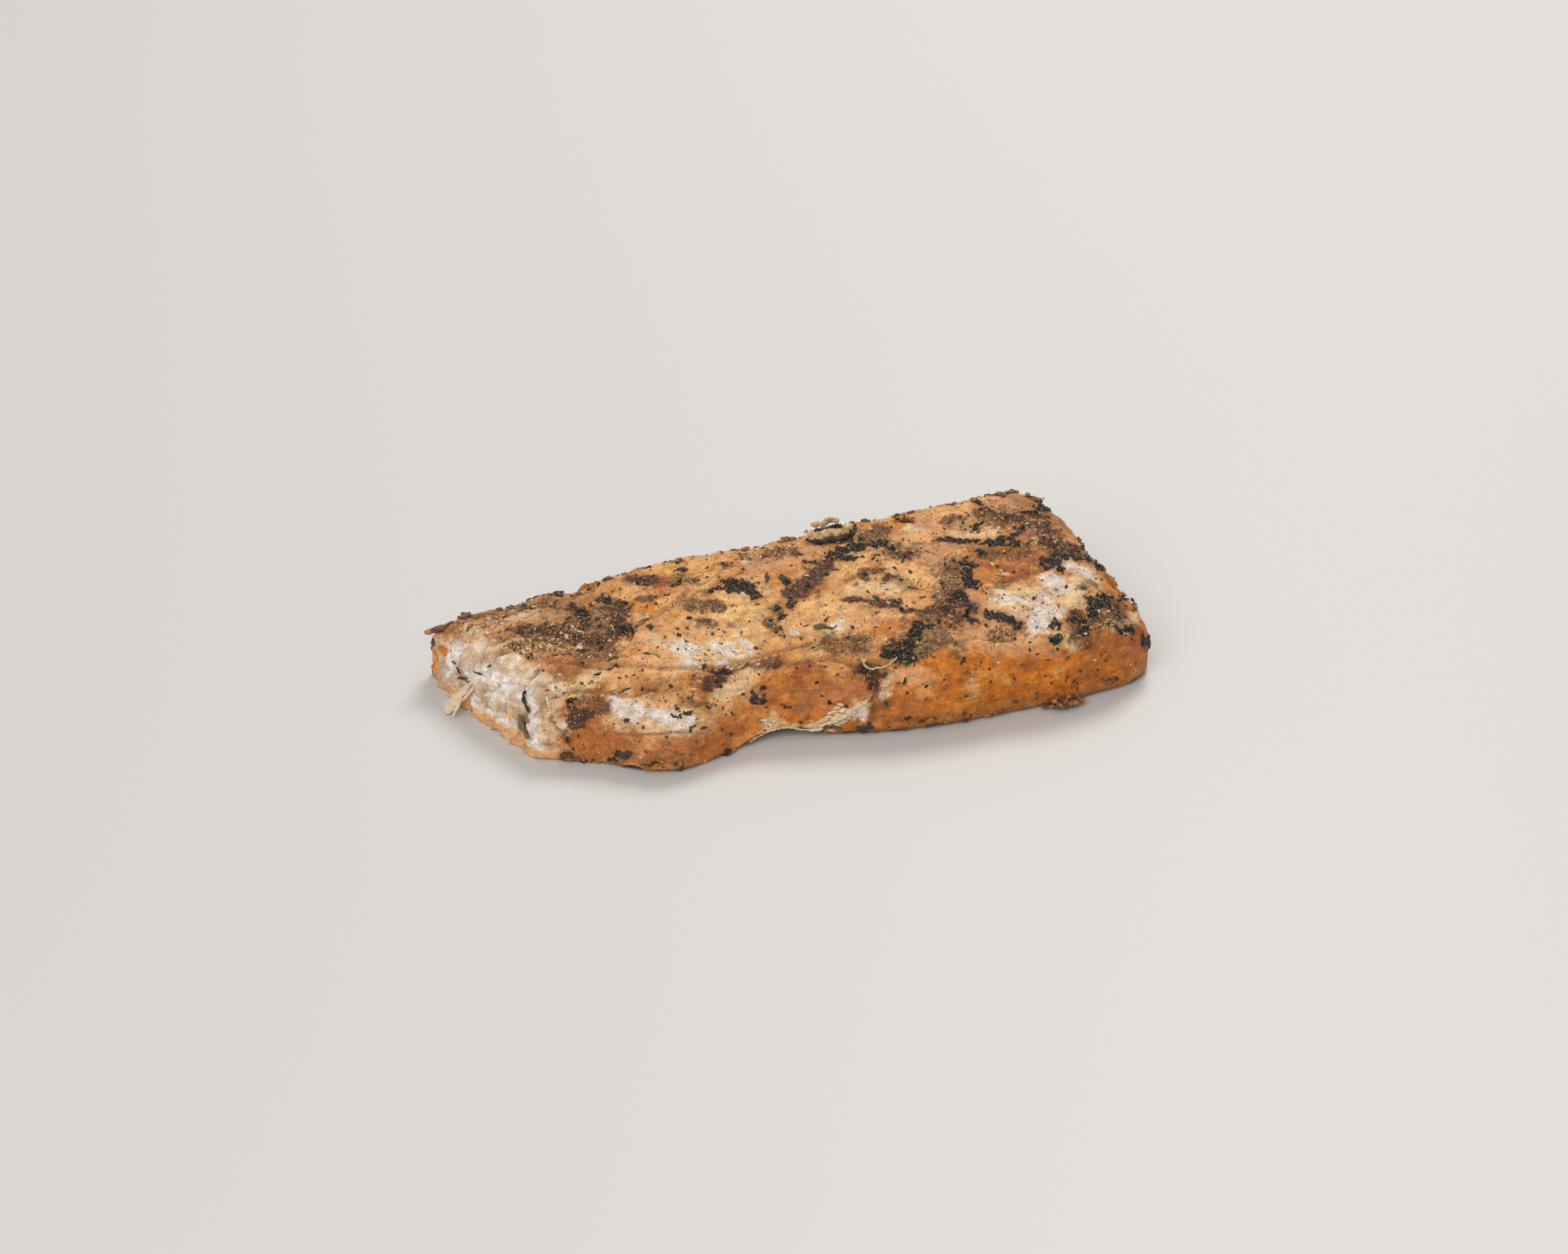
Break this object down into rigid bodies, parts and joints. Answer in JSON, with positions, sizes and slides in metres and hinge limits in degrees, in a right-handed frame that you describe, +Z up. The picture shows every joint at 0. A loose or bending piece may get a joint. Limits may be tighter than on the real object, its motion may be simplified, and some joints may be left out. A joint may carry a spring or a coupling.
{
  "type": "grilled salmon fillet",
  "caption": "Grilled salmon fillet portion with a golden seared crust, char marks, dried herbs and cracked pepper, and one pale knife-cut end that shows the flakes.",
  "frame": {"origin": "middle of the fillet's bounding box seen from above, on the surface it lies on", "axes": "+X along the length away from the pale cut end, +Y from the near long side to the far one, +Z up"},
  "size_m": [0.1572, 0.0647, 0.0258],
  "materials": {
    "fish": "golden seared fish, lightly oiled, with char marks, herbs and pepper"
  },
  "bodies": {
    "root": {"salmon_fillet": "fish"}
  },
  "joints": []
}
